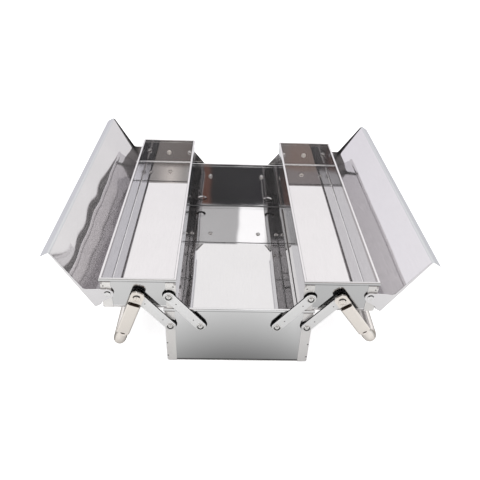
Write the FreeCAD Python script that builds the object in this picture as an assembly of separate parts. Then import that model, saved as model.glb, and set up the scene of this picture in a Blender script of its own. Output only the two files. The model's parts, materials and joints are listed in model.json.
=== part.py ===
import FreeCAD, Part
import math
import os

# Cantilever tool box of folded stainless sheet: a base, two trays that swing out and down on
# parallel links, a hinged lid on each tray and a bail handle on each side.
# Millimetres. X runs across the box, Y along it and Z up. The origin is under the middle of
# the base. The box stands open, with its trays out, its lids back and its handles down.

os.makedirs("parts", exist_ok=True)
V = FreeCAD.Vector
AHEAD = V(0, 1, 0)
UP = V(0, 0, 1)

# Base
body_length = 430.0
body_width = 200.0
base_height = 100.7
base_fold_radius = 2.2

# Sheet, fits and gaps
sheet = 0.8
seat_gap = 0.3
running_gap = 0.1
rivet_fit = 0.05
open_pivot_fit = 0.25
centre_gap = 0.4
overrun = 2.0

# Rolled rim around the base and both trays
rim_out = 1.1
rim_width = 3.6
rim_height = 4.0
rim_fold_radius = 0.6

# Corner folds of the side sheets over the end panels, and floor folds of the end panels
corner_fold_width = 13.5
floor_fold_width = 9.0
end_fold_radius = 0.8
corner_rounding = 0.5

# Pressed feet
foot_depth = 1.2
foot_mouth_radius = 10.0
foot_sole_radius = 7.5
foot_from_middle = 70.8
foot_from_end = 33.5

# Trays
tray_height = 48.7
tray_inset = 0.5
tray_fold_radius = 1.6
tray_pivot_height = 22.3

# Links, pressed channels with round ends
link_centres = 65.4
link_lean = 38.6
link_from_side = 7.5
link_from_tray_side = 9.6
link_radius = 7.35
link_wall = 1.0
link_depth = 2.8
link_stand_off = 1.8
link_bevel = 0.7

# Rivets, bushes and washers
rivet_radius = 2.0
rivet_head_radius = 4.4
rivet_head_height = 1.2
rivet_tail_radius = 3.4
rivet_tail_height = 1.0
rivet_flat_share = 0.7
bush_radius = 3.8
washer_radius = 6.0
washer_thickness = 0.6
lid_rivet_head_radius = 4.0
lid_rivet_head_height = 0.8

# Lids, which lie high enough over the rims to turn past them
lid_lift = 1.6
lid_fold_radius = 1.0
lid_opening = 122.3
left_lid_rest = 118.6
right_lid_rest = 122.3
lid_pivot_inset = 8.6
lid_pivot_height = 24.6
lip_height = 12.0
lip_setback = 1.5
flange_deep = 3.4
flange_shallow = 0.9
tab_radius = 7.6
tab_throat_radius = 6.0
tab_slope = 62.5

# Handles, round tube with its arms pressed flat and a riveted lug on each
handle_reach = 90.0
handle_width = 17.5
lug_thickness = 2.5
lug_height = 9.5
lug_rounding = 6.0
lug_drop = 10.5
arm_thickness = 5.0
groove_radius = 1.3
crease_length = 3.0
crease_height = 1.6
neck_length = 6.8
grip_radius = 8.0
grip_wall = 1.2
grip_bend_radius = 16.0
left_handle_rest = 21.0
right_handle_rest = 36.0

# Heights and places worked out from the sizes above
half_length = body_length / 2
half_width = body_width / 2
floor_top = foot_depth + sheet
throw = link_centres * math.sin(math.radians(link_lean))
rise = link_centres * math.cos(math.radians(link_lean))
tray_bottom = base_height + seat_gap
tray_top = tray_bottom + tray_height
tray_width = half_width - centre_gap - tray_inset - 2 * rim_out
tray_middle = centre_gap + rim_out + tray_width / 2 + 2 * throw
upper_pivot_z = tray_bottom + tray_pivot_height
lower_pivot_z = upper_pivot_z - rise
outer_lower_x = half_width - link_from_side
inner_lower_x = centre_gap + rim_out + throw + link_from_tray_side
outer_upper_x = outer_lower_x + throw
inner_upper_x = inner_lower_x + throw
lid_pivot_x = tray_middle + tray_width / 2 - lid_pivot_inset
lid_pivot_z = tray_bottom + lid_pivot_height

# Distances out from the end of the box
panel_inside = -2 * sheet
link_web_inside = link_stand_off + link_depth - link_wall
link_face = link_stand_off + link_depth
lug_inside = link_face + washer_thickness + 2 * running_gap
lug_face = lug_inside + lug_thickness
arm_face = lug_inside + arm_thickness
tube_middle = arm_face + crease_height - grip_radius
lid_plate_inside = rim_out + seat_gap
lid_plate_face = lid_plate_inside + sheet


def direction(a, b):
    """Unit vector from a to b."""
    along = b - a
    return along / along.Length


def left_of(way):
    """Unit vector to the left of a way in the XZ plane."""
    return V(-way.z, 0, way.x)


def turn(before, corner, after):
    """1 where a path in the XZ plane turns to the left, -1 where it turns to the right."""
    onward = direction(corner, after)
    return 1 if left_of(direction(before, corner)).dot(onward) > 0 else -1


def rounding(before, corner, after, radius):
    """Start, end and centre of the arc that rounds a corner."""
    into = direction(before, corner)
    onward = direction(corner, after)
    back = radius * math.tan(into.getAngle(onward) / 2)
    start = corner - into * back
    centre = start + left_of(into) * (radius * turn(before, corner, after))
    return start, corner + onward * back, centre


def line(a, b):
    """Straight edge."""
    return Part.LineSegment(a, b).toShape()


def arc(start, end, centre):
    """Arc edge of under half a circle."""
    towards = direction(centre, (start + end) / 2)
    return Part.Arc(start, centre + towards * (start - centre).Length, end).toShape()


def swept(edges, low, high):
    """Solid between two depths, over a closed outline of edges in the XZ plane."""
    face = Part.Face(Part.Wire(Part.__sortEdges__(edges)))
    face.translate(V(0, low, 0))
    return face.extrude(V(0, high - low, 0))


def folded_sheet(path, low, high):
    """Folded sheet between two depths.

    path lists (x, z, inside fold radius) along one face, and the sheet lies to its left.
    """
    corners = [V(x, 0, z) for x, z, radius in path]
    near = corners[0]
    far = near + left_of(direction(corners[0], corners[1])) * sheet
    edges = [line(near, far)]
    for index in range(1, len(corners) - 1):
        before, corner, after = corners[index - 1:index + 2]
        inside = path[index][2]
        to_left = turn(before, corner, after) > 0
        near_radius = inside + sheet if to_left else inside
        far_radius = inside if to_left else inside + sheet
        start, end, centre = rounding(before, corner, after, near_radius)
        far_start = centre + direction(centre, start) * far_radius
        far_end = centre + direction(centre, end) * far_radius
        edges += [line(near, start), arc(start, end, centre)]
        edges += [line(far, far_start), arc(far_start, far_end, centre)]
        near, far = end, far_end
    last = corners[-1]
    far_last = last + left_of(direction(corners[-2], last)) * sheet
    edges += [line(near, last), line(far, far_last), line(last, far_last)]
    return swept(edges, low, high)


def rounded_plate(outline, low, high):
    """Flat plate between two depths; outline lists (x, z, corner radius)."""
    corners = [V(x, 0, z) for x, z, radius in outline]
    spans = []
    edges = []
    for index, corner in enumerate(corners):
        radius = outline[index][2]
        start, end = corner, corner
        if radius > 0:
            before, after = corners[index - 1], corners[(index + 1) % len(corners)]
            start, end, centre = rounding(before, corner, after, radius)
            edges.append(arc(start, end, centre))
        spans.append((start, end))
    for index, (start, end) in enumerate(spans):
        edges.append(line(spans[index - 1][1], start))
    return swept(edges, low, high)


def stadium(radius, length, low, high):
    """Round-ended bar that stands along Z from the origin, between two depths."""
    right, left = V(radius, 0, 0), V(-radius, 0, 0)
    top = V(0, 0, length)
    reach = V(0, 0, radius)
    edges = [
        line(right, right + top),
        line(left, left + top),
        Part.Arc(right + top, top + reach, left + top).toShape(),
        Part.Arc(right, reach.negative(), left).toShape(),
    ]
    return swept(edges, low, high)


def block(x, y, z):
    """Box from its (low, high) pairs."""
    return Part.makeBox(x[1] - x[0], y[1] - y[0], z[1] - z[0], V(x[0], y[0], z[0]))


def prism(corners, low, high):
    """Upright prism over (x, y) corners."""
    points = [V(x, y, low) for x, y in corners]
    return Part.Face(Part.makePolygon(points + points[:1])).extrude(V(0, 0, high - low))


def round_bar(radius, x, z, low, high):
    """Cylinder along Y."""
    return Part.makeCylinder(radius, high - low, V(x, low, z), AHEAD)


def at_front(out):
    """Y of a plane at a distance out from the front end of the box."""
    return -half_length - out


def at_back(shape):
    """Mirror image of a front piece, at the back end."""
    return shape.mirror(V(0, 0, 0), AHEAD)


def drilled(shape, places, radius):
    """The shape with round holes through both ends of the box."""
    reach = half_length + overrun
    return shape.cut([round_bar(radius, x, z, -reach, reach) for x, z in places])


def rim_points(wall, face, top):
    """Path down a rolled rim, from its inner lip to where the wall below it begins."""
    low = top - rim_height
    return [
        (face - rim_width, low, 0),
        (face - rim_width, top, rim_fold_radius),
        (face, top, rim_fold_radius),
        (face, low, rim_fold_radius),
        (wall, low - (face - wall), rim_fold_radius),
    ]


def rim_base(top):
    """Height at which the end panels and the corner folds reach the underside of the rim."""
    return top - rim_height - rim_out - sheet


def mitre_wedges(width, top, of_ends):
    """Wedges that mitre the four rim corners, off the end rims or off the side rims."""
    outer_x = width / 2 + rim_out + overrun
    outer_y = half_length + rim_out + overrun
    inward = rim_width + 2 * overrun
    wedges = []
    for across in (-1, 1):
        for along in (-1, 1):
            outer = (across * outer_x, along * outer_y)
            inner = (across * (outer_x - inward), along * (outer_y - inward))
            third = (outer[0], inner[1]) if of_ends else (inner[0], outer[1])
            wedges.append(prism([outer, inner, third], rim_base(top), top + overrun))
    return wedges


def fold_plate(width, bottom, top, fold_radius):
    """Plate across the front, of which the notch leaves the two upright corner folds."""
    half = width / 2
    radius = fold_radius + sheet
    fold_top = rim_base(top) - rim_fold_radius
    outline = [(-half, bottom, radius), (half, bottom, radius), (half, fold_top, 0), (-half, fold_top, 0)]
    return rounded_plate(outline, at_front(0), at_front(-sheet))


def fold_notch(width, bottom, top):
    """Space between the two corner folds, in front of the end panel."""
    middle = width / 2 - corner_fold_width
    return block(
        (-middle, middle), (at_front(overrun), at_front(-sheet)), (bottom - overrun, rim_base(top)))


def side_sheet(width, bottom, top, fold_radius):
    """Floor, long sides, their rims and the corner folds: one folded sheet."""
    half = width / 2
    rim = rim_points(half, half + rim_out, top) + [(half, bottom, fold_radius)]
    path = [(-x, z, radius) for x, z, radius in rim] + rim[::-1]
    shell = folded_sheet(path, at_front(rim_out), -at_front(rim_out))
    wide = half + rim_out + overrun
    below_rim = block(
        (-wide, wide), (at_front(rim_out + overrun), at_front(0)), (bottom - overrun, rim_base(top)))
    plate = fold_plate(width, bottom, top, fold_radius)
    notch = fold_notch(width, bottom, top)
    shell = shell.cut([below_rim, at_back(below_rim)]).fuse([plate, at_back(plate)])
    cuts = mitre_wedges(width, top, False) + corner_rounders(half, bottom - overrun, rim_base(top))
    return shell.cut(cuts + [notch, at_back(notch)]).removeSplitter()


def corner_rounders(half, low, high):
    """Cutters that round the outside of the four upright corner folds."""
    cutters = []
    for across in (-1, 1):
        for along in (-1, 1):
            x = across * (half - corner_rounding)
            y = along * (half_length - corner_rounding)
            outside = block(
                sorted((x, x + across * overrun)), sorted((y, y + along * overrun)), (low, high))
            cutters.append(outside.cut(
                Part.makeCylinder(corner_rounding, high - low, V(x, y, low))))
    return cutters


def floor_fold_clearance(inside, floor, radius):
    """Space at both ends of the floor line that the folds of the side sheet take up."""
    crop = radius + running_gap
    spaces = []
    for across in (-1, 1):
        middle = across * (inside - crop)
        edge = across * (inside + overrun)
        corner = block(
            sorted((middle, edge)), (at_front(overrun), 0), (floor - overrun, floor + crop))
        spaces.append(corner.cut(round_bar(crop, middle, floor + crop, at_front(2 * overrun), overrun)))
    return spaces


def end_panel(width, floor, top, fold_radius):
    """Front end panel, with its rim and the fold that lies on the floor.

    fold_radius is that of the side sheet's own folds, which the panel keeps clear of.
    """
    half = width / 2
    wall = half_length - sheet
    path = rim_points(wall, half_length + rim_out, top)
    path += [(wall, floor, end_fold_radius), (wall - sheet - floor_fold_width, floor, 0)]
    wide = half + rim_out
    panel = folded_sheet(path[::-1], -wide, wide)
    panel.rotate(V(0, 0, 0), UP, -90)
    inside = half - sheet
    sides = [
        block(pair, (at_front(2 * overrun), 0), (floor - overrun, rim_base(top)))
        for pair in ((-wide - overrun, -inside), (inside, wide + overrun))
    ]
    cuts = sides + mitre_wedges(width, top, True) + floor_fold_clearance(inside, floor, fold_radius)
    return panel.cut(cuts).removeSplitter()


def with_feet(shell):
    """The base's sheet with four round dishes pressed down out of its floor."""
    along = half_length - foot_from_end
    places = [(x, y) for x in (-foot_from_middle, foot_from_middle) for y in (-along, along)]
    outside = []
    inside = []
    for x, y in places:
        outside.append(Part.makeCone(foot_sole_radius, foot_mouth_radius, foot_depth, V(x, y, 0)))
        inside.append(Part.makeCone(foot_sole_radius, foot_mouth_radius, foot_depth, V(x, y, sheet)))
    return shell.fuse(outside).cut(inside)


def revolved(outline, x, z):
    """Turned piece at the front; outline lists (radius, distance out from the box)."""
    points = [V(radius, -out, 0) for radius, out in outline]
    face = Part.Face(Part.makePolygon(points + points[:1]))
    piece = face.revolve(V(0, 0, 0), AHEAD, 360)
    piece.translate(V(x, at_front(0), z))
    return piece


def rivet(x, z, face, head_radius, head_height):
    """Rivet through an end panel, with its tail inside the box and its head over a face."""
    tail = panel_inside - rivet_tail_height
    return revolved([
        (0, tail),
        (rivet_tail_radius, tail),
        (rivet_tail_radius, panel_inside),
        (rivet_radius, panel_inside),
        (rivet_radius, face),
        (head_radius, face),
        (head_radius * rivet_flat_share, face + head_height),
        (0, face + head_height),
    ], x, z)


def ring(x, z, radius, low, high):
    """Bush or washer around a rivet, between two distances out from the box."""
    hole = rivet_radius + rivet_fit
    return revolved([(hole, low), (radius, low), (radius, high), (hole, high)], x, z)


def bush(x, z, from_side):
    """Bush that holds a link clear of the corner fold or the end panel under it."""
    seat = 0 if from_side - bush_radius < corner_fold_width else -sheet
    return ring(x, z, bush_radius, seat, link_web_inside - running_gap)


def link_rivet(x, z):
    """Rivet that a link turns on."""
    return rivet(x, z, link_face + running_gap, rivet_head_radius, rivet_head_height)


def link(lower_x, upper_fit):
    """Front link: a pressed channel with round ends, hollow towards the box."""
    outer = stadium(link_radius, link_centres, -link_face, -link_stand_off)
    face_edges = [edge for edge in outer.Edges if edge.BoundBox.YMax < -link_web_inside]
    outer = outer.makeChamfer(link_bevel, face_edges)
    hollow = stadium(link_radius - link_wall, link_centres, -link_web_inside, overrun)
    cuts = [
        hollow,
        round_bar(rivet_radius + rivet_fit, 0, 0, -link_face - overrun, 0),
        round_bar(rivet_radius + upper_fit, 0, link_centres, -link_face - overrun, 0),
    ]
    channel = outer.cut(cuts)
    channel.rotate(V(0, 0, 0), AHEAD, link_lean)
    channel.translate(V(lower_x, at_front(0), lower_pivot_z))
    return channel


def lid_height():
    """Height of a closed lid's top above its pivot."""
    return tray_top + lid_lift + sheet - lid_pivot_z


def skirt_inside():
    """Distance from the lid's pivot out to the inside of its skirt."""
    return lid_pivot_inset + rim_out + seat_gap


def skirt_low():
    """Height above the pivot of the skirt's edge, which stops on the tray's wall when open."""
    stop = math.radians(lid_opening)
    outside = skirt_inside() + sheet
    return (lid_pivot_inset + seat_gap - outside * math.cos(stop)) / math.sin(stop)


def lip_x():
    """Place of the lip's face, seen from the pivot, when the lid is closed."""
    return centre_gap + lip_setback - (lid_pivot_x - 2 * throw)


def lid_panel():
    """Lid sheet with its outer skirt and raised middle lip, closed, around its pivot."""
    top = lid_height()
    outside = skirt_inside() + sheet
    lip = lip_x() + sheet
    path = [
        (outside, skirt_low(), 0),
        (outside, top, lid_fold_radius),
        (lip, top, lid_fold_radius),
        (lip, top + lip_height, 0),
    ]
    return folded_sheet(path, at_front(lid_plate_face), -at_front(lid_plate_face))


def lid_end():
    """Front end plate of a lid, closed: a thin flange that widens into a tab round the pivot."""
    under = lid_height() - sheet
    side = skirt_inside()
    far = lip_x() + 2 * sheet + lid_fold_radius
    rising, running = math.sin(math.radians(tab_slope)), math.cos(math.radians(tab_slope))
    throat = under - flange_deep
    tab_reach = (tab_radius + throat * running) / rising
    tab_tip = -tab_radius * (1 + rising) / running
    outline = [
        (side, under, lid_fold_radius + running_gap),
        (side, skirt_low(), 0),
        (tab_radius, skirt_low() - (side - tab_radius), 0),
        (tab_radius, tab_tip, tab_radius),
        (-tab_reach, throat, tab_throat_radius),
        (far, under - flange_shallow, 0),
        (far, under, 0),
    ]
    plate = rounded_plate(outline, at_front(lid_plate_face), at_front(lid_plate_inside))
    hole = round_bar(
        rivet_radius + rivet_fit, 0, 0, at_front(lid_plate_face + overrun), at_front(0))
    return plate.cut(hole)


def opened_lid(shape, angle):
    """A closed lid piece turned back on its pivot and set on the tray."""
    shape.rotate(V(0, 0, 0), AHEAD, angle)
    shape.translate(V(lid_pivot_x, 0, lid_pivot_z))
    return shape


def grip_half_length():
    """Half the length of the straight part of the grip."""
    return half_length + tube_middle - grip_bend_radius


def elbow():
    """Front quarter bend from the arm into the grip, hanging below the pivots."""
    middle = handle_reach - grip_bend_radius
    start = Part.makeCircle(grip_radius, V(0, at_front(tube_middle), -middle), UP)
    return Part.Face(Part.Wire(start)).revolve(V(0, -grip_half_length(), -middle), V(1, 0, 0), 90)


def arm_section(z, corners, middles):
    """Closed section of an arm at a height.

    corners lists (x, distance out). middles has a point on the edge from each corner to the
    next, or None where that edge is straight.
    """
    ends = [V(x, at_front(out), z) for x, out in corners]
    edges = []
    for index, middle in enumerate(middles):
        start, end = ends[index], ends[(index + 1) % len(ends)]
        if middle is None:
            edges.append(line(start, end))
        else:
            through = V(middle[0], at_front(middle[1]), z)
            edges.append(Part.Arc(start, through, end).toShape())
    return Part.Wire(edges)


def on_tube(degrees):
    """Point on the round tube's section, as (x, distance out); 90 degrees is its outermost."""
    angle = math.radians(degrees)
    return grip_radius * math.cos(angle), tube_middle + grip_radius * math.sin(angle)


def flat_section(z):
    """Flattened tube, with straight faces and round sides."""
    half = arm_thickness / 2
    flat = handle_width / 2 - half
    middle = lug_inside + half
    corners = [(flat, lug_inside), (flat, arm_face), (-flat, arm_face), (-flat, lug_inside)]
    return arm_section(z, corners, [(flat + half, middle), None, (-flat - half, middle), None])


def half_round_section(z):
    """Tube that is round on the outside and still flat on the inside."""
    back = math.degrees(math.asin((lug_inside - tube_middle) / grip_radius))
    side = (back + 45) / 2
    corners = [on_tube(angle) for angle in (back, 45, 135, 180 - back)]
    return arm_section(z, corners, [on_tube(side), on_tube(90), on_tube(180 - side), None])


def round_section(z):
    """Round tube."""
    corners = [on_tube(angle) for angle in (-45, 45, 135, 225)]
    return arm_section(z, corners, [on_tube(angle) for angle in (0, 90, 180, 270)])


def handle_arm():
    """Front arm: riveted lug, flattened tube, and the crease and neck where it turns round."""
    half = handle_width / 2
    lug = rounded_plate([
        (-half, lug_height, lug_rounding), (half, lug_height, lug_rounding),
        (half, -lug_drop, 0), (-half, -lug_drop, 0),
    ], at_front(lug_face), at_front(lug_inside))
    neck_end = handle_reach - grip_bend_radius
    crease = neck_end - neck_length - crease_length
    arm = Part.Face(flat_section(-lug_drop)).extrude(V(0, 0, lug_drop - crease))
    neck = Part.makeLoft([
        flat_section(-crease),
        half_round_section(-crease - crease_length),
        round_section(-neck_end),
    ], True, True)
    groove = Part.makeCylinder(
        groove_radius, 2 * half, V(-half, at_front(lug_face), -lug_drop), V(1, 0, 0))
    hole = round_bar(rivet_radius + rivet_fit, 0, 0, at_front(lug_face + overrun), at_front(0))
    return lug.fuse([arm, neck]).cut([groove, hole])


def handle(rest):
    """Handle at its resting angle, measured outwards from straight down."""
    straight = grip_half_length()
    grip = round_bar(grip_radius, 0, -handle_reach, -straight, straight)
    bore = round_bar(grip_radius - grip_wall, 0, -handle_reach, -straight, straight)
    end = handle_arm().fuse(elbow())
    whole = grip.fuse([end, at_back(end)]).removeSplitter().cut(bore)
    whole.rotate(V(0, 0, 0), AHEAD, -rest)
    whole.translate(V(outer_upper_x, 0, upper_pivot_z))
    return whole


def base_nodes():
    """Base: folded sheet, end panels, link rivets and bushes."""
    pivots = [(outer_lower_x, link_from_side), (inner_lower_x, half_width - inner_lower_x)]
    places = [(across * x, lower_pivot_z) for x, inset in pivots for across in (-1, 1)]
    hole = rivet_radius + rivet_fit
    shell = with_feet(side_sheet(body_width, foot_depth, base_height, base_fold_radius))
    panel = end_panel(body_width, floor_top, base_height, base_fold_radius)
    rivets = [link_rivet(x, z) for x, z in places]
    bushes = [bush(across * x, lower_pivot_z, inset) for x, inset in pivots for across in (-1, 1)]
    return {
        "base_shell": [drilled(shell, places, hole)],
        "base_end_front": [drilled(panel, places, hole)],
        "base_end_back": [drilled(at_back(panel), places, hole)],
        "base_link_rivets": rivets + [at_back(piece) for piece in rivets],
        "base_link_bushes": bushes + [at_back(piece) for piece in bushes],
    }


def tray_nodes():
    """Right tray: folded sheet, end panels, rivets, bushes and washers."""
    near_side = tray_middle - tray_width / 2
    inner = (inner_upper_x, upper_pivot_z)
    outer = (outer_upper_x, upper_pivot_z)
    lid = (lid_pivot_x, lid_pivot_z)
    hole = rivet_radius + rivet_fit
    move = V(tray_middle, 0, 0)
    shell = side_sheet(tray_width, tray_bottom, tray_top, tray_fold_radius)
    panel = end_panel(tray_width, tray_bottom + sheet, tray_top, tray_fold_radius)
    shell.translate(move)
    panel.translate(move)
    shell = drilled(shell, [inner, outer, lid], hole)
    panel = drilled(panel, [inner, outer, lid], hole)
    bushes = [
        bush(inner[0], inner[1], inner[0] - near_side),
        bush(outer[0], outer[1], outer[0] - near_side),
    ]
    lid_bush = ring(lid[0], lid[1], bush_radius, 0, lid_plate_inside - running_gap)
    washer = ring(outer[0], outer[1], washer_radius, link_face + running_gap, lug_inside - running_gap)
    link_rivets = link_rivet(inner[0], inner[1])
    handle_rivets = rivet(
        outer[0], outer[1], lug_face + running_gap, rivet_head_radius, rivet_head_height)
    lid_rivets = rivet(
        lid[0], lid[1], lid_plate_face + running_gap, lid_rivet_head_radius, lid_rivet_head_height)
    return {
        "tray_shell": [shell],
        "tray_end_front": [panel],
        "tray_end_back": [at_back(panel)],
        "tray_link_rivets": [link_rivets, at_back(link_rivets)],
        "tray_link_bushes": bushes + [at_back(piece) for piece in bushes],
        "handle_rivets": [handle_rivets, at_back(handle_rivets)],
        "handle_washers": [washer, at_back(washer)],
        "lid_rivets": [lid_rivets, at_back(lid_rivets)],
        "lid_bushes": [lid_bush, at_back(lid_bush)],
    }


def moving_nodes(lid_rest, handle_rest):
    """Right links, lid and handle."""
    outer = link(outer_lower_x, rivet_fit)
    inner = link(inner_lower_x, open_pivot_fit)
    plate = opened_lid(lid_end(), lid_rest)
    return {
        "outer_link_front": [outer],
        "outer_link_back": [at_back(outer)],
        "inner_link_front": [inner],
        "inner_link_back": [at_back(inner)],
        "lid_panel": [opened_lid(lid_panel(), lid_rest)],
        "lid_end_front": [plate],
        "lid_end_back": [at_back(plate)],
        "handle": [handle(handle_rest)],
    }


def side_nodes(side, lid_rest, handle_rest):
    """Every piece of one side, from the right-hand ones; the left side is their mirror image."""
    nodes = tray_nodes()
    nodes.update(moving_nodes(lid_rest, handle_rest))
    if side == "left":
        nodes = {
            name: [piece.mirror(V(0, 0, 0), V(1, 0, 0)) for piece in pieces]
            for name, pieces in nodes.items()
        }
    return {side + "_" + name: pieces for name, pieces in nodes.items()}


def main():
    nodes = base_nodes()
    nodes.update(side_nodes("left", left_lid_rest, left_handle_rest))
    nodes.update(side_nodes("right", right_lid_rest, right_handle_rest))
    for name, pieces in nodes.items():
        solids = [solid for piece in pieces for solid in piece.Solids]
        shape = solids[0] if len(solids) == 1 else Part.makeCompound(solids)
        shape.exportStep("parts/" + name + ".step")
        print(name, len(solids), round(shape.Volume, 1), shape.isValid())


main()
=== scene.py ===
import json
import math
from collections import namedtuple

import bmesh
import bpy
from mathutils import Matrix, Vector


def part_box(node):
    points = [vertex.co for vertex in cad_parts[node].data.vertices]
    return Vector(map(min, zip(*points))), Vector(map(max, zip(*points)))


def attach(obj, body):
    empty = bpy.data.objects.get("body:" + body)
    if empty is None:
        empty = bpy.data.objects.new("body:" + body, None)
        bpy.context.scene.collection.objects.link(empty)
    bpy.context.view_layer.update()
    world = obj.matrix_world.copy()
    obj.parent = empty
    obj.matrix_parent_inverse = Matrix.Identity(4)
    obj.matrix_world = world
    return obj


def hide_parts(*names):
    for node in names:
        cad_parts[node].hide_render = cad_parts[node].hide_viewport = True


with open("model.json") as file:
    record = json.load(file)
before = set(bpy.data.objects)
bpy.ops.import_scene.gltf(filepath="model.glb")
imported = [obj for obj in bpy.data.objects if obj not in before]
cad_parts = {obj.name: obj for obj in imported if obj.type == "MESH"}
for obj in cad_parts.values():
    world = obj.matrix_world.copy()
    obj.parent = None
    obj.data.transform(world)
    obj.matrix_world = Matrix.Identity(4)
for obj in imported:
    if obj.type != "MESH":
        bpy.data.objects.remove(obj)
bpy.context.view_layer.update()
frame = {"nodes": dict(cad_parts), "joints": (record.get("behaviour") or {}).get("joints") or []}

# Looks of a cantilever tool box of polished stainless sheet. Metres, Z up, X across the box,
# Y along it. The camera stands in front of the end at -Y.

Look = namedtuple("Look", "color rough spread metallic", defaults=(1.0,))
Finish = namedtuple("Finish", "color rough metallic")
Crease = namedtuple("Crease", "place half_length half_width")
Head = namedtuple("Head", "radius height dark_rings dark_above")

# Places taken from the frame
MM = 0.001
SIDES = ("left", "right")
ENDS = (-1, 1)
NODES = frame["nodes"]
JOINTS = {joint["name"]: Vector(joint["pos_m"]) for joint in frame["joints"]}
BASE_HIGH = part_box("base_shell")[1]
RIM_OVERHANG = 1.1 * MM
END_Y = abs(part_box("base_end_front")[0].y + RIM_OVERHANG)

# Pressed feet in the floor of the base, with painted shade on the outer half of each foot's slope
FOOT_X = 70.8 * MM
FOOT_END_INSET = 33.5 * MM
FOOT_Y = END_Y - FOOT_END_INSET
FOOT_INNER = 5.4 * MM
FOOT_OUTER = 10.2 * MM
FOOT_SLOPE_START = -1.0 * MM

# Handle arms: their lean from the vertical, and the creases pressed across each of them, in which shade is
# painted
HANDLE_LEAN = {"left": math.radians(21), "right": math.radians(36)}
CREASES = (Crease(10.3 * MM, 1.9 * MM, 9.0 * MM), Crease(64.2 * MM, 0.9 * MM, 3.4 * MM))
CREASE_FADE = (0.6, 1.1)
CREASE_END_POWER = 2.0
CREASE_SIDE_POWER = 4.0

# Bends, strips and bands on the sheet: sizes of its painted shade and painted highlights, and of the lids'
# lips
END_FOLD = 2.6 * MM
STRIP_SKIN = 0.3 * MM
PIVOT_SHADE_RADIUS = 8.9 * MM
WALL_SKIN = 1.2 * MM
RIM_SKIN = 0.8 * MM
UNDER_RIM_IN = 4.0 * MM
UNDER_RIM_DEPTH = 10 * MM
WALL_FOOT_IN = 3.6 * MM
WALL_FOOT_LOW = 0.7 * MM
WALL_FOOT_HIGH = 2.8 * MM
LIP_WIDTH = 7 * MM
PLATE_SKIN = 0.4 * MM
PLATE_FADE = (20 * MM, 32 * MM)

# Ranges of faces_out, and the least part along X of the normal of a wall
OUTWARD = (0.7, 2.0)
INWARD = (-2.0, -0.7)
TUBE_SIDES = (-0.6, 0.6)
LINK_SIDES = (-0.5, 0.3)
LINK_BACKS = (-2.0, -0.5)
SQUARE_TO_X = 0.95

# Streaks and dents of rolled sheet
LENGTHWISE = (14, 1, 14)
EVENLY = (6, 6, 6)
UNSTRETCHED = (1, 1, 1)
FINE_SCALE = 60.0
BROAD_SCALE = 9.0
STREAK_DETAIL = 3.0
STREAK_ROUGHNESS = 0.6
TONE_SPAN = (0.3, 0.7)
ROUGH_SPAN = (0.35, 0.65)
BROAD_TONES = (0.97, 1.0)
FINE_TONES = (0.96, 1.0)
WORN_TONES = (0.90, 1.04)
DENT_SCALE = 16.0
NOISE_MIDDLE = (0.5, 0.5, 0.5)
SLOPES = {
    "base_shell": 0.008, "base_end": 0.006, "tray_shell": 0.006, "tray_end": 0.012,
    "left_lid": 0.08, "right_lid": 0.02, "lid_end": 0.01, "handle": 0.02, "link": 0.02,
}

# Metallic share of polished sheet: less than 1 leaves it a little haze
TRAY_HAZE = 0.93
BASE_END_HAZE = 0.975
BASE_SHELL_HAZE = 0.94
LEFT_LID_HAZE = 0.82

# Polished and brushed steels
BASE_SHEET = Look((0.77, 0.76, 0.765), 0.03, 0.004, BASE_SHELL_HAZE)
BASE_MIRROR = Look((0.75, 0.745, 0.75), 0.03, 0.004, BASE_END_HAZE)
BASE_OUTSIDE = Look((0.88, 0.88, 0.88), 0.10, 0.02)
TRAY_SHEET = Look((0.795, 0.775, 0.785), 0.04, 0.015, TRAY_HAZE)
TRAY_MIRROR = Look((0.715, 0.705, 0.71), 0.035, 0.015, TRAY_HAZE)
TRAY_WALL = Look((0.80, 0.79, 0.80), 0.08, 0.04)
# The right tray's end panels are darker outside than the left tray's: painted shade of the right-hand side
TRAY_OUTSIDE = {
    "left": Look((0.70, 0.70, 0.70), 0.09, 0.02),
    "right": Look((0.57, 0.57, 0.572), 0.09, 0.02),
}
LID_SHEET = {
    "left": Look((0.77, 0.75, 0.755), 0.05, 0.015, LEFT_LID_HAZE),
    "right": Look((0.79, 0.775, 0.785), 0.05, 0.015, TRAY_HAZE),
}
# Darker, duller inner faces of the lids' end plates: painted shade of the gap next to the tray ends
LID_END_INSIDE_SHADE = Look((0.50, 0.48, 0.47), 0.30, 0.05, 0.6)

# Satin steels
# The right-hand strips and links are darker copies of the left-hand ones: painted shade of the right-hand
# side
STRIP = {
    "left": Look((0.88, 0.865, 0.84), 0.42, 0.05, 0.55),
    "right": Look((0.75, 0.735, 0.715), 0.42, 0.05, 0.55),
}
LINK_FACE = {
    "left": Look((0.885, 0.885, 0.88), 0.40, 0.05, 0.6),
    "right": Look((0.82, 0.82, 0.815), 0.40, 0.05, 0.6),
}
# Near-black sides of the links: painted shade of the gap between the links and the panels
LINK_EDGE_SHADE = Look((0.04, 0.04, 0.042), 0.4, 0.05)
LINK_INSIDE = Look((0.62, 0.61, 0.60), 0.09, 0.03)
HANDLE_LOOK = Look((0.89, 0.84, 0.78), 0.34, 0.04, 0.6)
TUBE_LOOK = Look((0.86, 0.83, 0.80), 0.14, 0.04, 0.97)
# Near-black inner faces of the handle arms: painted shade
ARM_INSIDE_SHADE = Look((0.12, 0.12, 0.125), 0.4, 0.05)
RIVET_LOOK = Look((0.85, 0.84, 0.82), 0.16, 0.04)
# Near-black grooves and rims of rivets and dips of pressed marks: painted shade
GROOVE_SHADE = Look((0.05, 0.05, 0.05), 0.5, 0.05)
BUSH_LOOK = Look((0.10, 0.10, 0.10), 0.45, 0.05)
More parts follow.
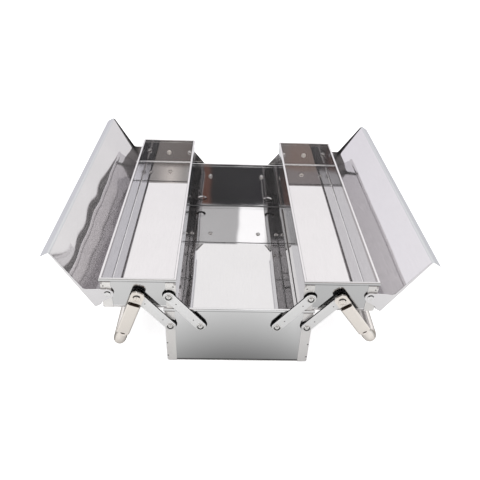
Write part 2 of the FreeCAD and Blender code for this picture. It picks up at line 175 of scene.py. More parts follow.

# Finishes of marks and bends: painted shade and painted highlights, all but the lids' lips
FOOT_SHADE = Finish((0.04, 0.04, 0.04), 0.3, 1.0)
BASE_RIGHT_STRIP_SHADE = Finish((0.815, 0.80, 0.785), 0.42, 0.55)
PIVOT_SHADE = Finish((0.03, 0.03, 0.03), 0.4, 1.0)
BEND_HIGHLIGHT = Finish((1.0, 0.99, 0.98), 0.30, 0.5)
BEND_SHADE = Finish((0.28, 0.28, 0.28), 0.30, 1.0)
UNDER_RIM_SHADE = Finish((0.50, 0.48, 0.475), 0.10, 0.97)
WALL_FOOT_HIGHLIGHT = Finish((0.78, 0.77, 0.78), 0.24, 0.86)
LIP = Finish((0.64, 0.655, 0.665), 0.18, 0.9)
PLATE_SHADE = Finish((0.06, 0.06, 0.06), 0.3, 1.0)
CREASE_SHADE = Finish((0.035, 0.022, 0.015), 0.4, 0.6)

# Tints of what steel mirrors at a grazing angle
WHITE = (1, 1, 1)
LAVENDER = (0.73, 0.72, 0.755)
GREY = (0.92, 0.92, 0.92)
HANDLE_TINT = (0.35, 0.33, 0.30)
WALL_TINT = {"left": (0.70, 0.71, 0.74), "right": (0.77, 0.775, 0.79)}

# Rivets: their half section as shares of radius and height, and which of its rings take the painted shade,
# and where
TAIL_SEAT = -1.6 * MM
TAIL_HEIGHT = 1.2 * MM
TAIL_RADIUS = 4.6 * MM
SHANK_RADIUS = 2.0 * MM
TAIL_SHARES = ((0, 0.35), (0.30, 0.40), (0.48, 0.75), (0.66, 1.0), (0.84, 0.92), (0.96, 0.55), (1.0, 0))
HEAD_SHARES = ((1, 0), (1, 0.40), (0.95, 0.78), (0.87, 1.0), (0.78, 0.95), (0.72, 0.35),
               (0.58, 0.25), (0.52, 0.70), (0.40, 0.85), (0.20, 0.80), (0.12, 0.30), (0, 0.25))
GROOVE_RINGS = (13, 15)
RIM_RINGS = (9, 14)
ALL_ROUND = -2.0
# Handle and lid rivets take the painted shade only on the upper part of their rims
UPPER_PART = 0.45
TURNED_SEGMENTS = 40
LINK_HEAD = Head(5.5 * MM, 1.2 * MM, GROOVE_RINGS, ALL_ROUND)
HANDLE_HEAD = Head(5.4 * MM, 1.2 * MM, RIM_RINGS, UPPER_PART)
LID_HEAD = Head(4.4 * MM, 0.8 * MM, RIM_RINGS, UPPER_PART)

# Small pressed marks: half section in millimetres, and where they are; their dips take the painted shade
WELD_PROFILE = ((1.35, 0.0), (1.2, 0.08), (0.95, 0.10), (0.72, 0.02), (0.40, 0.03), (0, 0.04))
WELD_RINGS = (2, 5)
WELD_SEGMENTS = 16
BASE_WELD_INSET = 2.6 * MM
BASE_WELD_HEIGHTS = (11 * MM, 36 * MM)
TRAY_WELD_INSET = 4.8 * MM
TRAY_WELD_DROP = 12.5 * MM
LINK_MARK_STEP = 15.0 * MM
LINK_MARK_SIZE = 0.8

# Floor: how light metal sees it, with a painted shadow by the distance from the base as a share of a span,
# and how much longer that distance counts before the outer parts of its ends
FLOOR_SIZE = 30
FLOOR_Z = -0.5 * MM
FLOOR_SPAN = 0.6
FLOOR_SHADES = ((0.0, 0.20), (0.10, 0.50), (0.24, 0.85), (0.45, 0.95), (1.0, 1.0))
BEFORE_END_SHIFT = 0.035
BEFORE_END_FADE = (0.9, 1.15)
PAPER = (0.88, 0.88, 0.88)
PAPER_GLOW = 0.62

# Wall behind the camera: its size, the height where it turns light, and its tones from left to right
ROOM_REACH = 0.9
ROOM_Y = -1.0
ROOM_BOTTOM = 0.2
ROOM_LINE = 0.73
ROOM_TOP = 1.6
ROOM_LOW_TONES = (
    (0.22, (0.55, 0.52, 0.50)), (0.28, (0.28, 0.26, 0.245)), (0.40, (0.24, 0.21, 0.19)),
    (0.415, (0.03, 0.03, 0.03)), (0.42, (0.17, 0.075, 0.055)), (0.446, (0.17, 0.08, 0.06)),
    (0.456, (0.03, 0.03, 0.032)), (0.60, (0.03, 0.03, 0.035)), (0.63, (0.27, 0.245, 0.23)),
    (0.66, (0.31, 0.225, 0.19)), (0.70, (0.31, 0.235, 0.20)), (0.76, (0.30, 0.27, 0.25)))
ROOM_HIGH_TONES = (
    (0.24, (0.25, 0.24, 0.23)), (0.31, (0.24, 0.23, 0.22)), (0.345, (0.52, 0.49, 0.45)),
    (0.38, (0.26, 0.25, 0.235)), (0.41, (0.34, 0.34, 0.34)), (0.43, (0.40, 0.40, 0.40)),
    (0.525, (0.38, 0.38, 0.38)), (0.532, (0.95, 0.95, 0.95)), (0.60, (0.95, 0.95, 0.95)),
    (0.61, (0.40, 0.40, 0.40)), (0.63, (0.16, 0.145, 0.14)), (0.76, (0.16, 0.14, 0.14)))
ROOM_LOW_STRENGTH = 1.0
ROOM_HIGH_STRENGTH = 2.0

# Studio light and sky
SKY_LOW = (0.88, 0.865, 0.90)
SKY_HIGH = (0.98, 0.97, 0.97)
SKY_TURN = 0.5
SKY_IN_METAL = 1.14
KEY_PLACE = (-0.7, -0.9, 1.7)
KEY_TARGET = (0, 0, 0.1)
KEY_SIZE = 1.2
KEY_POWER = 6.0

# Camera of the photograph
CAMERA_PLACE = (-0.0228, -0.7308, 0.5703)
CAMERA_DOWN = 0.6059
CAMERA_YAW = 0.0383
CAMERA_ROLL = 0.0406
CAMERA_FOCAL_PIXELS = 519.56
IMAGE_PIXELS = 480
SENSOR_MM = 36.0


class Nodes:
    """Small helper that adds and links shader nodes."""

    def __init__(self, tree):
        self.tree = tree
        tree.nodes.clear()

    def add(self, kind, **settings):
        node = self.tree.nodes.new(kind)
        inputs = settings.pop("inputs", {})
        for key, value in settings.items():
            setattr(node, key, value)
        for key, value in inputs.items():
            if isinstance(value, bpy.types.NodeSocket):
                self.tree.links.new(value, node.inputs[key])
            else:
                node.inputs[key].default_value = value
        return node

    def math(self, operation, a, b=0.0):
        return self.add("ShaderNodeMath", operation=operation, inputs={0: a, 1: b}).outputs[0]

    def vector(self, operation, a, b=(0, 0, 0)):
        return self.add("ShaderNodeVectorMath", operation=operation, inputs={0: a, 1: b}).outputs[0]

    def mix(self, factor, a, b):
        return self.add("ShaderNodeMix", data_type="RGBA", inputs={0: factor, 6: a, 7: b}).outputs[2]

    def blend(self, factor, a, b):
        return self.add("ShaderNodeMix", data_type="FLOAT", inputs={0: factor, 2: a, 3: b}).outputs[0]

    def scale(self, source, low, high, out_low, out_high, smooth=False):
        node = self.add("ShaderNodeMapRange", inputs={
            "Value": source, "From Min": low, "From Max": high, "To Min": out_low, "To Max": out_high})
        node.interpolation_type = "SMOOTHSTEP" if smooth else "LINEAR"
        return node.outputs[0]

    def apart(self, source):
        """The X, Y and Z of a vector."""
        return tuple(self.add("ShaderNodeSeparateXYZ", inputs={0: source}).outputs)

    def between(self, source, low, high):
        """1 where the source is more than low and less than high."""
        return self.math("MULTIPLY", self.math("GREATER_THAN", source, low),
                         self.math("LESS_THAN", source, high))

    def far(self, a, b):
        """Length of the line whose two parts are a and b."""
        return self.math("SQRT", self.math(
            "ADD", self.math("MULTIPLY", a, a), self.math("MULTIPLY", b, b)))


def rgb(red, green, blue):
    return (red, green, blue, 1.0)


def new_material(name):
    material = bpy.data.materials.new(name)
    material.use_nodes = True
    return material, Nodes(material.node_tree)


def ramp(nodes, source, stops):
    """Colour ramp whose stops are (position, colour)."""
    node = nodes.add("ShaderNodeValToRGB", inputs={0: source})
    elements = node.color_ramp.elements
    while len(elements) < len(stops):
        elements.new(0.5)
    for element, (position, color) in zip(elements, stops):
        element.position = position
        element.color = rgb(*color)
    return node.outputs[0]


def pivots(side):
    """The five pivots of one side: outer and inner lower, outer and inner upper, and the lid's."""
    outer_low = JOINTS[side + "_tray_swing"]
    inner_low = JOINTS[side + "_inner_link_swing"]
    outer_up = JOINTS[side + "_tray_level"]
    return {
        "outer_low": outer_low,
        "inner_low": inner_low,
        "outer_up": outer_up,
        "inner_up": inner_low + outer_up - outer_low,
        "lid": JOINTS[side + "_lid_hinge"],
    }


def faces_out(nodes, place, normal):
    """1 on faces that look along Y away from the middle of the box, -1 on those that look in."""
    along = nodes.apart(place)[1]
    facing = nodes.apart(normal)[1]
    return nodes.math("MULTIPLY", nodes.math("SIGN", along), facing)


def crease_shade_mask(side):
    """Mask of the painted shade in the two creases pressed across each arm of a handle."""
    lean = HANDLE_LEAN[side]
    outward = -1 if side == "left" else 1
    direction = Vector((outward * math.sin(lean), 0, -math.cos(lean)))
    across = Vector((-direction.z, 0, direction.x))
    pivot = pivots(side)["outer_up"]

    def mask(nodes, place):
        from_pivot = nodes.vector("SUBTRACT", place, pivot)
        along, aside = (nodes.add("ShaderNodeVectorMath", operation="DOT_PRODUCT", inputs={
            0: from_pivot, 1: axis}).outputs["Value"] for axis in (direction, across))
        marks = []
        for crease in CREASES:
            end_share = nodes.math("DIVIDE", nodes.math("SUBTRACT", along, crease.place), crease.half_length)
            side_share = nodes.math("DIVIDE", aside, crease.half_width)
            far = nodes.math(
                "ADD", nodes.math("POWER", nodes.math("ABSOLUTE", end_share), CREASE_END_POWER),
                nodes.math("POWER", nodes.math("ABSOLUTE", side_share), CREASE_SIDE_POWER))
            marks.append(nodes.scale(far, *CREASE_FADE, 1.0, 0.0))
        return nodes.math("MAXIMUM", *marks)

    return mask


def foot_shade_mask(nodes, place):
    """1 on the outer half of the slope around each pressed foot, where shade is painted."""
    x, y, _ = nodes.apart(place)
    aside = nodes.math("SUBTRACT", nodes.math("ABSOLUTE", x), FOOT_X)
    along = nodes.math("SUBTRACT", nodes.math("ABSOLUTE", y), FOOT_Y)
    ring = nodes.between(nodes.far(aside, along), FOOT_INNER, FOOT_OUTER)
    return nodes.math("MULTIPLY", ring, nodes.math("GREATER_THAN", along, FOOT_SLOPE_START))


def fold_mask(node):
    """Mask of the bend at the foot of the end panels, of which node is one; the bend takes a painted
    highlight on the trays and painted shade on the base.
    """
    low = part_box(node)[0].z

    def mask(nodes, place):
        _, y, z = nodes.apart(place)
        near_end = nodes.math("GREATER_THAN", nodes.math("ABSOLUTE", y), END_Y - END_FOLD)
        return nodes.math("MULTIPLY", near_end, nodes.math("LESS_THAN", z, low + END_FOLD))

    return mask


def right_strip_shade_mask(nodes, place):
    """1 on the base's corner folds on the right, where they lie over the end panels and take painted shade.
    """
    x, y, _ = nodes.apart(place)
    near_end = nodes.math("GREATER_THAN", nodes.math("ABSOLUTE", y), END_Y - STRIP_SKIN)
    return nodes.math("MULTIPLY", near_end, nodes.math("GREATER_THAN", x, 0.0))


def pivot_shade_mask(places):
    """Mask of the round painted shade behind the links' ends, on the outside round their pivots."""
    def mask(nodes, place):
        normal = nodes.add("ShaderNodeTexCoord").outputs["Normal"]
        x, _, z = nodes.apart(place)
        near = 0.0
        for pivot in places:
            aside = nodes.math("SUBTRACT", x, pivot.x)
            above = nodes.math("SUBTRACT", z, pivot.z)
            disc = nodes.math("LESS_THAN", nodes.far(aside, above), PIVOT_SHADE_RADIUS)
            near = nodes.math("MAXIMUM", near, disc)
        outside = nodes.math("GREATER_THAN", faces_out(nodes, place, normal), OUTWARD[0])
        return nodes.math("MULTIPLY", near, outside)

    return mask


def inside_mask(side, near, far, low_edge, high_edge):
    """Mask of a band along both walls of a tray.

    near and far are distances in from the outermost face of the tray, and the edges are heights
    above the foot of the tray.
    """
    low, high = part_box(side + "_tray_shell")
    middle = (low.x + high.x) / 2
    reach = (high.x - low.x) / 2

    def mask(nodes, place):
        x, _, z = nodes.apart(place)
        aside = nodes.math("ABSOLUTE", nodes.math("SUBTRACT", x, middle))
        height = nodes.math("SUBTRACT", z, low.z)
        across = nodes.between(aside, reach - far, reach - near)
        return nodes.math("MULTIPLY", across, nodes.between(height, low_edge, high_edge))

    return mask


def lip_mask(side):
    """Mask of the turned lip of a lid, which is the part furthest from its hinge."""
    hinge = pivots(side)["lid"]
    points = (vertex.co for vertex in NODES[side + "_lid_panel"].data.vertices)
    reach = max(math.hypot(point.x - hinge.x, point.z - hinge.z) for point in points)

    def mask(nodes, place):
        across = nodes.vector("MULTIPLY", nodes.vector("SUBTRACT", place, hinge), (1, 0, 1))
        far = nodes.add("ShaderNodeVectorMath", operation="LENGTH", inputs={0: across}).outputs["Value"]
        return nodes.math("GREATER_THAN", far, reach - LIP_WIDTH)

    return mask


def plate_shade_mask(nodes, place):
    """1 on the inner faces of the lids' end plates, away from their hinges, where shade is painted."""
    hinge = pivots("right")["lid"]
    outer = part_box("right_lid_end_back")[1].y
    x, y, z = nodes.apart(place)
    aside = nodes.math("SUBTRACT", nodes.math("ABSOLUTE", x), hinge.x)
    above = nodes.math("SUBTRACT", z, hinge.z)
    inner = nodes.math("LESS_THAN", nodes.math("ABSOLUTE", y), outer - PLATE_SKIN)
    return nodes.math("MULTIPLY", inner, nodes.scale(nodes.far(aside, above), *PLATE_FADE, 0.0, 1.0))


def streaks(nodes, place, stretch, scale):
    """Fine noise drawn out along one direction."""
    mapping = nodes.add("ShaderNodeMapping", inputs={"Vector": place, "Scale": stretch})
    return nodes.add("ShaderNodeTexNoise", inputs={
        "Vector": mapping.outputs[0], "Scale": scale, "Detail": STREAK_DETAIL,
        "Roughness": STREAK_ROUGHNESS}).outputs[0]


def tinted(nodes, color, tone):
    """A colour, darkened by a tone."""
    shade = nodes.add("ShaderNodeCombineColor", inputs={0: tone, 1: tone, 2: tone}).outputs[0]
    return nodes.add("ShaderNodeMix", data_type="RGBA", blend_type="MULTIPLY", inputs={
        0: 1.0, 6: rgb(*color), 7: shade}).outputs[2]


def streaked_roughness(nodes, fine, look):
    """Roughness of a look, spread by the fine streaks."""
    return nodes.scale(fine, *ROUGH_SPAN, look.rough - look.spread, look.rough + look.spread)


def uneven(nodes, place, slope):
    """Surface normal of a sheet that is dented a little, by up to about slope, every few centimetres."""
    dents = nodes.add("ShaderNodeTexNoise", inputs={"Vector": place, "Scale": DENT_SCALE, "Detail": 0.0})
    middle = nodes.vector("SUBTRACT", dents.outputs["Color"], NOISE_MIDDLE)
    tilt = nodes.add("ShaderNodeVectorMath", operation="SCALE", inputs={0: middle, "Scale": slope})
    normal = nodes.add("ShaderNodeNewGeometry").outputs["Normal"]
    return nodes.vector("NORMALIZE", nodes.vector("ADD", normal, tilt.outputs[0]))


def steel(name, look, stretch, slope=0.0, faces=(), edge=WHITE, marks=(), wall=None):
    """Polished or satin stainless steel with fine rolling streaks, on a slightly dented sheet.

    faces lists other looks and the range of faces_out that takes each, and wall is the look of faces
    square to X, whose streaks show more. edge tints what the steel mirrors at a grazing angle. marks
    lists functions that give a mask, with the finish under it.
    """
    material, nodes = new_material(name)
    coordinates = nodes.add("ShaderNodeTexCoord")
    place = coordinates.outputs["Object"]
    normal = coordinates.outputs["Normal"]
    fine = streaks(nodes, place, stretch, FINE_SCALE)
    broad = streaks(nodes, place, UNSTRETCHED, BROAD_SCALE)
    tone = nodes.math("MULTIPLY", nodes.scale(broad, *TONE_SPAN, *BROAD_TONES),
                      nodes.scale(fine, *TONE_SPAN, *FINE_TONES))
    facing = faces_out(nodes, place, normal)
    base = tinted(nodes, look.color, tone)
    roughness = streaked_roughness(nodes, fine, look)
    metallic = look.metallic
    if wall:
        mask = nodes.math("GREATER_THAN", nodes.math("ABSOLUTE", nodes.apart(normal)[0]), SQUARE_TO_X)
        worn = nodes.math("MULTIPLY", tone, nodes.scale(fine, *TONE_SPAN, *WORN_TONES))
        base = nodes.mix(mask, base, tinted(nodes, wall.color, worn))
        roughness = nodes.blend(mask, roughness, streaked_roughness(nodes, fine, wall))
    for other, (low, high) in faces:
        mask = nodes.between(facing, low, high)
        base = nodes.mix(mask, base, tinted(nodes, other.color, tone))
        roughness = nodes.blend(mask, roughness, streaked_roughness(nodes, fine, other))
        if other.metallic != look.metallic:
            metallic = nodes.blend(mask, metallic, other.metallic)
    for mark, finish in marks:
        mask = mark(nodes, place)
        base = nodes.mix(mask, base, rgb(*finish.color))
        roughness = nodes.blend(mask, roughness, finish.rough)
        metallic = nodes.blend(mask, metallic, finish.metallic)
    shader = nodes.add("ShaderNodeBsdfPrincipled", inputs={
        "Base Color": base, "Metallic": metallic, "Roughness": roughness, "Specular Tint": rgb(*edge),
        "Normal": uneven(nodes, place, slope)})
    nodes.add("ShaderNodeOutputMaterial", inputs={"Surface": shader.outputs[0]})
    return material


def end_steel(part, look, outside, slope, bend, places):
    """Steel of end panels, with painted light on the bend at their foot, and painted shade round the links'
    pivots on them.
    """
    return steel(part + "_steel", look, LENGTHWISE, slope, faces=((outside, OUTWARD),), edge=LAVENDER,
                 marks=((fold_mask(part + "_back"), bend), (pivot_shade_mask(places), PIVOT_SHADE)))


def base_steels():
    """Steels of the base's sheet and of its end panels."""
    places = [pivots(side)[name] for side in SIDES for name in ("outer_low", "inner_low")]
    return {
        "base_shell": steel(
            "base_shell_steel", BASE_SHEET, LENGTHWISE, SLOPES["base_shell"], edge=GREY,
            faces=((STRIP["left"], OUTWARD),),
            marks=((foot_shade_mask, FOOT_SHADE), (right_strip_shade_mask, BASE_RIGHT_STRIP_SHADE),
                   (pivot_shade_mask(places), PIVOT_SHADE))),
        "base_end": end_steel("base_end", BASE_MIRROR, BASE_OUTSIDE, SLOPES["base_end"], BEND_SHADE, places),
    }


def tray_steels(side):
    """Steels of a tray's folded sheet, with its brushed walls, and of its end panels."""
    low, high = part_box(side + "_tray_shell")
    top = high.z - low.z
    places = [pivots(side)["inner_up"]]
    # Painted shade on the walls under the rim
    under_rim_shade = inside_mask(side, WALL_SKIN, UNDER_RIM_IN, top - UNDER_RIM_DEPTH, top - RIM_SKIN)
    # Painted highlight on the fold at the foot of the walls
    wall_foot_highlight = inside_mask(side, WALL_SKIN, WALL_FOOT_IN, WALL_FOOT_LOW, WALL_FOOT_HIGH)
    return {
        side + "_tray_shell": steel(
            side + "_tray_shell_steel", TRAY_SHEET, LENGTHWISE, SLOPES["tray_shell"],
            faces=((STRIP[side], OUTWARD),), edge=WALL_TINT[side], wall=TRAY_WALL,
            marks=((under_rim_shade, UNDER_RIM_SHADE), (wall_foot_highlight, WALL_FOOT_HIGHLIGHT), (pivot_shade_mask(places), PIVOT_SHADE))),
        side + "_tray_end": end_steel(
            side + "_tray_end", TRAY_MIRROR, TRAY_OUTSIDE[side], SLOPES["tray_end"], BEND_HIGHLIGHT, places),
    }


def lid_steels():
    """Steels of the lids, whose lips are a little darker, and of their end plates, whose inner faces take
    painted shade.
    """
    steels = {
        side + "_lid_panel": steel(
            side + "_lid_steel", LID_SHEET[side], LENGTHWISE, SLOPES[side + "_lid"], edge=LAVENDER,
            marks=((lip_mask(side), LIP),))
        for side in SIDES}
    steels["lid_end"] = steel(
        "lid_end_steel", LID_SHEET["right"], LENGTHWISE, SLOPES["lid_end"],
        faces=((LID_END_INSIDE_SHADE, INWARD),), marks=((plate_shade_mask, PLATE_SHADE),))
    return steels


def handle_steels():
    """Steels of the handles, with painted shade in the creases across their arms and on the arms' inner
    faces.
    """
    return {
        side + "_handle": steel(
            side + "_handle_steel", HANDLE_LOOK, EVENLY, SLOPES["handle"],
            faces=((ARM_INSIDE_SHADE, INWARD), (TUBE_LOOK, TUBE_SIDES)), edge=HANDLE_TINT,
            marks=((crease_shade_mask(side), CREASE_SHADE),))
        for side in SIDES}


def small_steels():
    """Steels of links, rivets, bushes and washers; the links' sides and the rivets' grooves take painted
    shade, and the right-hand links are a darker copy as painted shade.
    """
    faces = ((LINK_EDGE_SHADE, LINK_SIDES), (LINK_INSIDE, LINK_BACKS))
    return {
        "link": steel("link_steel", LINK_FACE["left"], EVENLY, SLOPES["link"], faces),
        "right_link_shaded": steel("right_link_shaded_steel", LINK_FACE["right"], EVENLY, SLOPES["link"], faces),
        "handle_rivet": steel("handle_rivet_steel", HANDLE_LOOK, EVENLY),
        "rivet": steel("rivet_steel", RIVET_LOOK, EVENLY),
        "groove": steel("rivet_groove_shade", GROOVE_SHADE, EVENLY),
        "dark": steel("bush_steel", BUSH_LOOK, EVENLY),
    }


def dress_nodes():
    """Gives every node of the frame its steel, by the first word that its name holds.

    Returns all steels by name.
    """
    steels = base_steels()
    for side in SIDES:
        steels.update(tray_steels(side))
    steels.update(lid_steels())
    steels.update(handle_steels())
    steels.update(small_steels())
    words = {"rivets": "rivet", "bushes": "dark", "washers": "dark",
             "right_outer_link": "right_link_shaded", "right_inner_link": "right_link_shaded"}
    words.update((word, word) for word in steels)
    for name, node in NODES.items():
        found = next(key for word, key in words.items() if word in name)
        node.data.materials.clear()
        node.data.materials.append(steels[found])
    return steels


def lathe(mesh, profile, centre, outward, dark_rings, dark_above=ALL_ROUND, segments=TURNED_SEGMENTS):
    """Adds a turned shape about a Y axis; profile lists (radius, distance outward).

    The rings from the first to the second count of dark_rings take the second material, where the
    sine of their angle is more than dark_above.
    """
    rings = []
    for radius, out in profile:
        y = centre.y + outward * out
        if radius == 0:
            rings.append([mesh.verts.new((centre.x, y, centre.z))])
            continue
        ring = []
        for index in range(segments):
            angle = 2 * math.pi * index / segments
            ring.append(mesh.verts.new((
                centre.x + radius * math.cos(angle), y, centre.z + radius * math.sin(angle))))
        rings.append(ring)
    for count, (inner, outer) in enumerate(zip(rings, rings[1:])):
        for index in range(segments):
            after = (index + 1) % segments
            corners = [inner[index % len(inner)], inner[after % len(inner)],
                       outer[after % len(outer)], outer[index % len(outer)]]
            unique = list(dict.fromkeys(corners))
            if len(unique) > 2:
                face = mesh.faces.new(unique)
                high_enough = math.sin(2 * math.pi * (index + 0.5) / segments) > dark_above
                face.material_index = int(dark_rings[0] <= count < dark_rings[1] and high_enough)


def new_piece(name, mesh, materials, body, replaced=()):
    """Turns a bmesh into a smooth piece that rides on a body."""
    bmesh.ops.recalc_face_normals(mesh, faces=mesh.faces)
    data = bpy.data.meshes.new(name)
    mesh.to_mesh(data)
    mesh.free()
    data.polygons.foreach_set("use_smooth", [True] * len(data.polygons))
    for material in materials:
        data.materials.append(material)
    piece = bpy.data.objects.new(name, data)
    bpy.context.scene.collection.objects.link(piece)
    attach(piece, body)
    if replaced:
        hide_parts(*replaced)


def rivet_profile(seat, top, radius):
    """Half section of a rivet: rolled tail inside the box, shank, and a rimmed head with a groove."""
    tail = [(out * TAIL_RADIUS, TAIL_SEAT - share * TAIL_HEIGHT) for out, share in TAIL_SHARES]
    head = [(out * radius, seat + share * (top - seat)) for out, share in HEAD_SHARES]
    return tail + [(SHANK_RADIUS, TAIL_SEAT), (SHANK_RADIUS, seat)] + head


def rivets(name, places, node, body, materials, head):
    """Rivets at both ends of the box, in place of the plain ones of a node."""
    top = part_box(node)[1].y - END_Y
    profile = rivet_profile(top - head.height, top, head.radius)
    mesh = bmesh.new()
    for place in places:
        for outward in ENDS:
            centre = Vector((place.x, outward * END_Y, place.z))
            lathe(mesh, profile, centre, outward, head.dark_rings, head.dark_above)
    new_piece(name, mesh, materials, body, [node])


def add_rivets(steels):
    """Rivets of the links, handles and lids."""
    links, handles, lids = ((steels[key], steels["groove"]) for key in ("rivet", "handle_rivet", "link"))
    base_places = []
    for side in SIDES:
        places = pivots(side)
        base_places += [places["outer_low"], places["inner_low"]]
        for name, node, place, materials, head in (
                ("_tray_rivet_set", "_tray_link_rivets", "inner_up", links, LINK_HEAD),
                ("_handle_rivet_set", "_handle_rivets", "outer_up", handles, HANDLE_HEAD),
                ("_lid_rivet_set", "_lid_rivets", "lid", lids, LID_HEAD)):
            rivets(side + name, [places[place]], side + node, side + "_tray", materials, head)
    rivets("base_rivet_set", base_places, "base_link_rivets", "base", links, LINK_HEAD)


def weld_dots(name, spots, body, materials, size=1.0):
    """Small pressed marks on faces square to Y; spots lists (x, y, z, outward)."""
    mesh = bmesh.new()
    profile = [(radius * size * MM, height * MM) for radius, height in WELD_PROFILE]
    for x, y, z, outward in spots:
        lathe(mesh, profile, Vector((x, y, z)), outward, WELD_RINGS, segments=WELD_SEGMENTS)
    new_piece(name, mesh, materials, body)


def add_weld_dots(materials):
    """Two marks on each corner fold of the base, one on each of the trays, and two on each link."""
    base_x = BASE_HIGH.x - BASE_WELD_INSET
    weld_dots("base_weld_dots", [
        (side * base_x, outward * END_Y, height, outward)
        for side in (-1, 1) for outward in ENDS for height in BASE_WELD_HEIGHTS], "base", materials)
    for side in SIDES:
        low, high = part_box(side + "_tray_shell")
        weld_dots(side + "_tray_weld_dots", [
            (x, outward * END_Y, high.z - TRAY_WELD_DROP, outward)
            for x in (low.x + TRAY_WELD_INSET, high.x - TRAY_WELD_INSET) for outward in ENDS],
            side + "_tray", materials)
        places = pivots(side)
        for row in ("outer", "inner"):
            lower, upper = places[row + "_low"], places[row + "_up"]
            step = (upper - lower).normalized() * LINK_MARK_STEP
            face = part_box("%s_%s_link_back" % (side, row))[1].y
            spots = [(place.x, outward * face, place.z, outward)
                     for place in (lower + step, upper - step) for outward in ENDS]
            weld_dots("%s_%s_link_marks" % (side, row), spots, "%s_%s_links" % (side, row), materials,
                      LINK_MARK_SIZE)


def floor_distance(nodes):
    """Distance from the base, a little longer before the outer parts of its ends."""
    x, y, _ = nodes.apart(nodes.add("ShaderNodeTexCoord").outputs["Object"])
    aside = nodes.math("ABSOLUTE", x)
    away_x = nodes.math("MAXIMUM", nodes.math("SUBTRACT", aside, BASE_HIGH.x), 0.0)
    away_y = nodes.math("MAXIMUM", nodes.math("SUBTRACT", nodes.math("ABSOLUTE", y), BASE_HIGH.y), 0.0)
    from_middle = nodes.math("DIVIDE", aside, BASE_HIGH.x)
    before_end = nodes.math("MULTIPLY", nodes.math("MULTIPLY", from_middle, from_middle),
                            nodes.scale(from_middle, *BEFORE_END_FADE, 1.0, 0.0))
    return nodes.math("ADD", nodes.far(away_x, away_y), nodes.math("MULTIPLY", before_end, BEFORE_END_SHIFT))


def floor_material():
    """Pale floor: white to the camera, and to metal a glowing sheet with a painted shadow that darkens close
    to the box.
    """
    material, nodes = new_material("floor_paper")
    share = nodes.scale(floor_distance(nodes), 0.0, FLOOR_SPAN, 0.0, 1.0)
    shade = ramp(nodes, share, [(at, (grey,) * 3) for at, grey in FLOOR_SHADES])
    painted_shadow_in_metal = nodes.add("ShaderNodeEmission", inputs={"Color": shade, "Strength": 1.0})
    paper = nodes.add("ShaderNodeBsdfDiffuse", inputs={"Color": rgb(*PAPER)})
    glow = nodes.add("ShaderNodeEmission", inputs={"Color": rgb(*WHITE), "Strength": PAPER_GLOW})
    seen_by_camera = nodes.add("ShaderNodeAddShader", inputs={0: paper.outputs[0], 1: glow.outputs[0]})
    path = nodes.add("ShaderNodeLightPath")
    first = nodes.add("ShaderNodeMixShader", inputs={
        0: path.outputs["Is Camera Ray"], 1: paper.outputs[0], 2: seen_by_camera.outputs[0]})
    second = nodes.add("ShaderNodeMixShader", inputs={
        0: path.outputs["Is Glossy Ray"], 1: first.outputs[0], 2: painted_shadow_in_metal.outputs[0]})
    nodes.add("ShaderNodeOutputMaterial", inputs={"Surface": second.outputs[0]})
    return material


def add_floor():
    bpy.ops.mesh.primitive_plane_add(size=FLOOR_SIZE, location=(0, 0, FLOOR_Z))
    floor = bpy.context.object
    floor.name = "floor"
    floor.data.materials.append(floor_material())


def room_wall_material():
    """Glowing tones of the wall, one row below its line and one above."""
    material, nodes = new_material("room_wall")
    x, _, z = nodes.apart(nodes.add("ShaderNodeTexCoord").outputs["Object"])
    across = nodes.scale(x, -ROOM_REACH, ROOM_REACH, 0.0, 1.0)
    above = nodes.math("GREATER_THAN", z, ROOM_LINE)
    color = nodes.mix(above, ramp(nodes, across, ROOM_LOW_TONES), ramp(nodes, across, ROOM_HIGH_TONES))
    strength = nodes.scale(above, 0.0, 1.0, ROOM_LOW_STRENGTH, ROOM_HIGH_STRENGTH)
    shader = nodes.add("ShaderNodeEmission", inputs={"Color": color, "Strength": strength})
    nodes.add("ShaderNodeOutputMaterial", inputs={"Surface": shader.outputs[0]})
    return material


def add_room_wall():
    """Wall of the studio behind the camera, which only polished metal sees: dark below, light above."""
    data = bpy.data.meshes.new("room_wall")
    corners = [(x, ROOM_Y, z) for x, z in (
        (-ROOM_REACH, ROOM_BOTTOM), (ROOM_REACH, ROOM_BOTTOM),
        (ROOM_REACH, ROOM_TOP), (-ROOM_REACH, ROOM_TOP))]
    data.from_pydata(corners, [], [(0, 1, 2, 3)])
    data.materials.append(room_wall_material())
    wall = bpy.data.objects.new("room_wall", data)
    bpy.context.scene.collection.objects.link(wall)
    wall.visible_camera = False
    wall.visible_diffuse = False
    wall.visible_shadow = False
    wall.visible_transmission = False


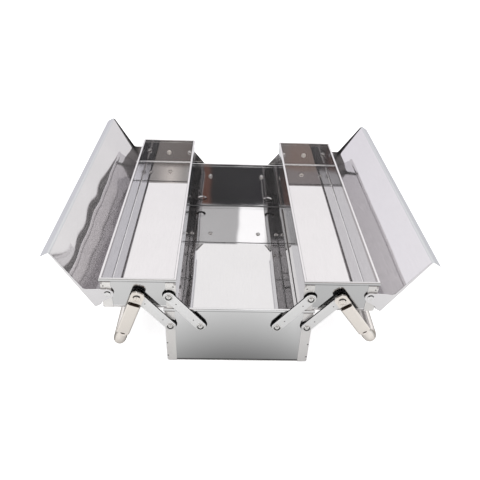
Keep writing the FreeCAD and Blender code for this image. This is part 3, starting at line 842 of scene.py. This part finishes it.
def add_world():
    """Plain sky, white to the camera and a little brighter to metal."""
    world = bpy.data.worlds.new("studio")
    bpy.context.scene.world = world
    world.use_nodes = True
    nodes = Nodes(world.node_tree)
    up = nodes.apart(nodes.add("ShaderNodeTexCoord").outputs["Generated"])[2]
    height = nodes.scale(up, 0.0, SKY_TURN, 0.0, 1.0, smooth=True)
    sky = nodes.mix(height, rgb(*SKY_LOW), rgb(*SKY_HIGH))
    path = nodes.add("ShaderNodeLightPath")
    color = nodes.mix(path.outputs["Is Camera Ray"], sky, rgb(*WHITE))
    strength = nodes.scale(path.outputs["Is Glossy Ray"], 0.0, 1.0, 1.0, SKY_IN_METAL)
    back = nodes.add("ShaderNodeBackground", inputs={"Color": color, "Strength": strength})
    nodes.add("ShaderNodeOutputWorld", inputs={"Surface": back.outputs[0]})


def add_key_light():
    """One soft light from the upper left, which metal doesn't mirror."""
    data = bpy.data.lights.new("key", "AREA")
    data.size = KEY_SIZE
    data.energy = KEY_POWER
    light = bpy.data.objects.new("key", data)
    light.location = KEY_PLACE
    light.rotation_euler = (Vector(KEY_TARGET) - Vector(KEY_PLACE)).to_track_quat("-Z", "Y").to_euler()
    bpy.context.scene.collection.objects.link(light)
    light.visible_glossy = False


def add_camera():
    """Camera at the photograph's place, turned by its yaw, pitch and roll."""
    data = bpy.data.cameras.new("camera")
    data.sensor_width = SENSOR_MM
    data.lens = CAMERA_FOCAL_PIXELS / IMAGE_PIXELS * SENSOR_MM
    camera = bpy.data.objects.new("camera", data)
    bpy.context.scene.collection.objects.link(camera)
    forward = Vector((math.sin(CAMERA_YAW) * math.cos(CAMERA_DOWN),
                      math.cos(CAMERA_YAW) * math.cos(CAMERA_DOWN), -math.sin(CAMERA_DOWN)))
    right = Vector((math.cos(CAMERA_YAW), -math.sin(CAMERA_YAW), 0))
    up = right.cross(forward)
    roll_right = math.cos(CAMERA_ROLL) * right + math.sin(CAMERA_ROLL) * up
    roll_up = -math.sin(CAMERA_ROLL) * right + math.cos(CAMERA_ROLL) * up
    axes = Matrix((roll_right, roll_up, -forward)).transposed()
    camera.matrix_world = Matrix.Translation(CAMERA_PLACE) @ axes.to_4x4()
    bpy.context.scene.camera = camera


def main():
    bpy.context.scene.view_settings.view_transform = "Standard"
    steels = dress_nodes()
    add_rivets(steels)
    add_weld_dots((steels["rivet"], steels["groove"]))
    add_floor()
    add_room_wall()
    add_world()
    add_key_light()
    add_camera()


main()
